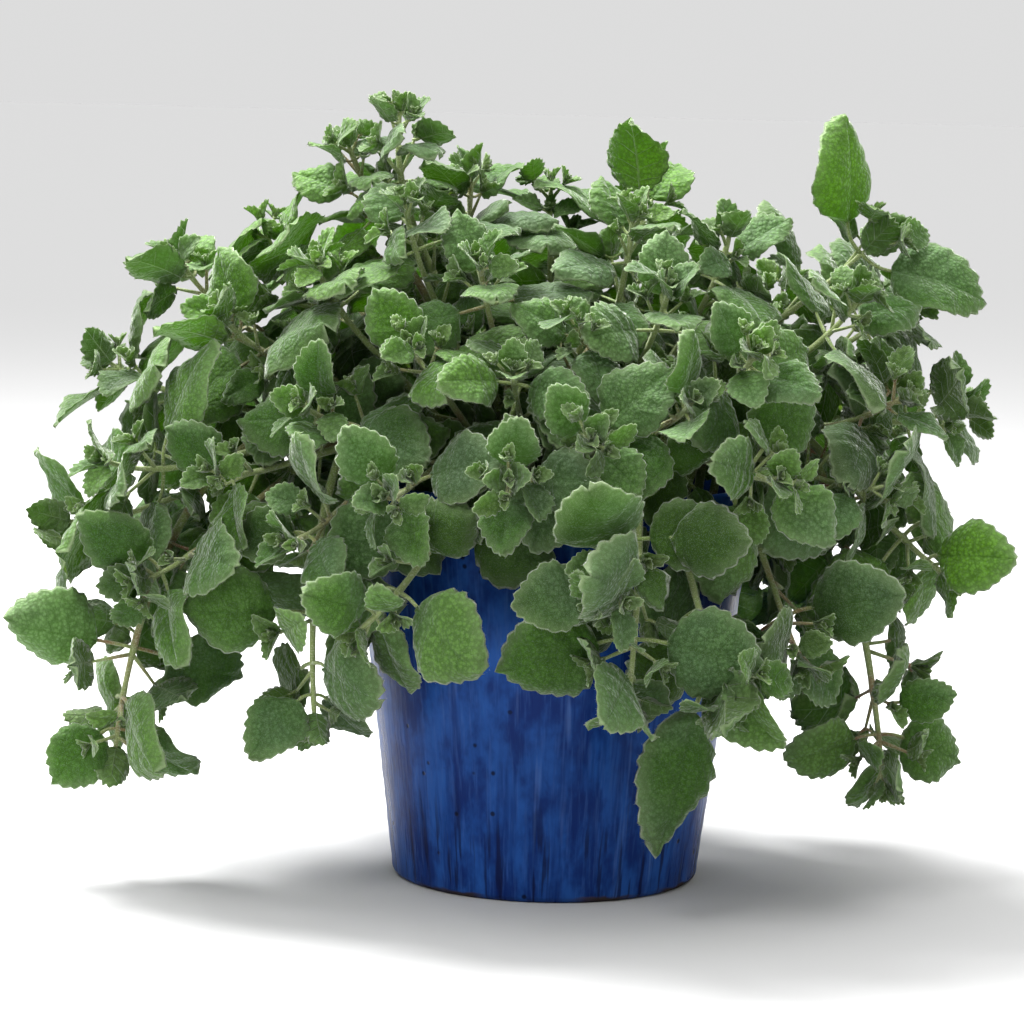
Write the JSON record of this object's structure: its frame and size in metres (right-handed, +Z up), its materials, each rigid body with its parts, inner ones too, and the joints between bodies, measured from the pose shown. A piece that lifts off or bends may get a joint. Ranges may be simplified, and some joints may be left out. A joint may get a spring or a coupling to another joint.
{
  "type": "potted plectranthus",
  "caption": "Trailing herb with broad, scalloped, woolly leaves in pairs on square stems, rooted in soil in a tapered blue glazed pot; some shoots stand up, others hang over the rim.",
  "frame": {"origin": "centre of the pot's base, on the surface it stands on", "axes": "+Z up along the pot's axis, -Y towards the front that the picture shows, +X to the right in that view"},
  "size_m": [0.4956, 0.4057, 0.3915],
  "materials": {
    "glaze": "glossy cobalt blue ceramic glaze with runs and pits",
    "soil": "dull crumbly potting soil",
    "foliage": "dull woolly green leaf with pale hairs along its edge"
  },
  "bodies": {
    "root": {"pot": "glaze", "soil": "soil", "leafy_stem_01": "foliage", "leafy_stem_02": "foliage", "leafy_stem_03": "foliage", "leafy_stem_04": "foliage", "leafy_stem_05": "foliage", "leafy_stem_06": "foliage", "leafy_stem_07": "foliage", "leafy_stem_08": "foliage", "leafy_stem_09": "foliage", "leafy_stem_10": "foliage", "leafy_stem_11": "foliage", "leafy_stem_12": "foliage", "leafy_stem_13": "foliage", "leafy_stem_14": "foliage", "leafy_stem_15": "foliage", "leafy_stem_16": "foliage", "leafy_stem_17": "foliage", "leafy_stem_18": "foliage", "leafy_stem_19": "foliage", "leafy_stem_20": "foliage", "leafy_stem_21": "foliage", "leafy_stem_22": "foliage", "leafy_stem_23": "foliage", "leafy_stem_24": "foliage", "leafy_stem_25": "foliage", "leafy_stem_26": "foliage", "leafy_stem_27": "foliage", "leafy_stem_28": "foliage", "leafy_stem_29": "foliage", "leafy_stem_30": "foliage", "leafy_stem_31": "foliage", "leafy_stem_32": "foliage", "leafy_stem_33": "foliage", "leafy_stem_34": "foliage", "leafy_stem_35": "foliage", "leafy_stem_36": "foliage", "leafy_stem_37": "foliage", "leafy_stem_38": "foliage", "leafy_stem_39": "foliage", "leafy_stem_40": "foliage", "leafy_stem_41": "foliage", "leafy_stem_42": "foliage", "leafy_stem_43": "foliage", "leafy_stem_44": "foliage", "leafy_stem_45": "foliage", "leafy_stem_46": "foliage", "leafy_stem_47": "foliage", "leafy_stem_48": "foliage", "leafy_stem_49": "foliage", "leafy_stem_50": "foliage", "leafy_stem_51": "foliage", "leafy_stem_52": "foliage", "leafy_stem_53": "foliage", "leafy_stem_54": "foliage", "leafy_stem_55": "foliage", "leafy_stem_56": "foliage", "leafy_stem_57": "foliage", "leafy_stem_58": "foliage"}
  },
  "joints": []
}
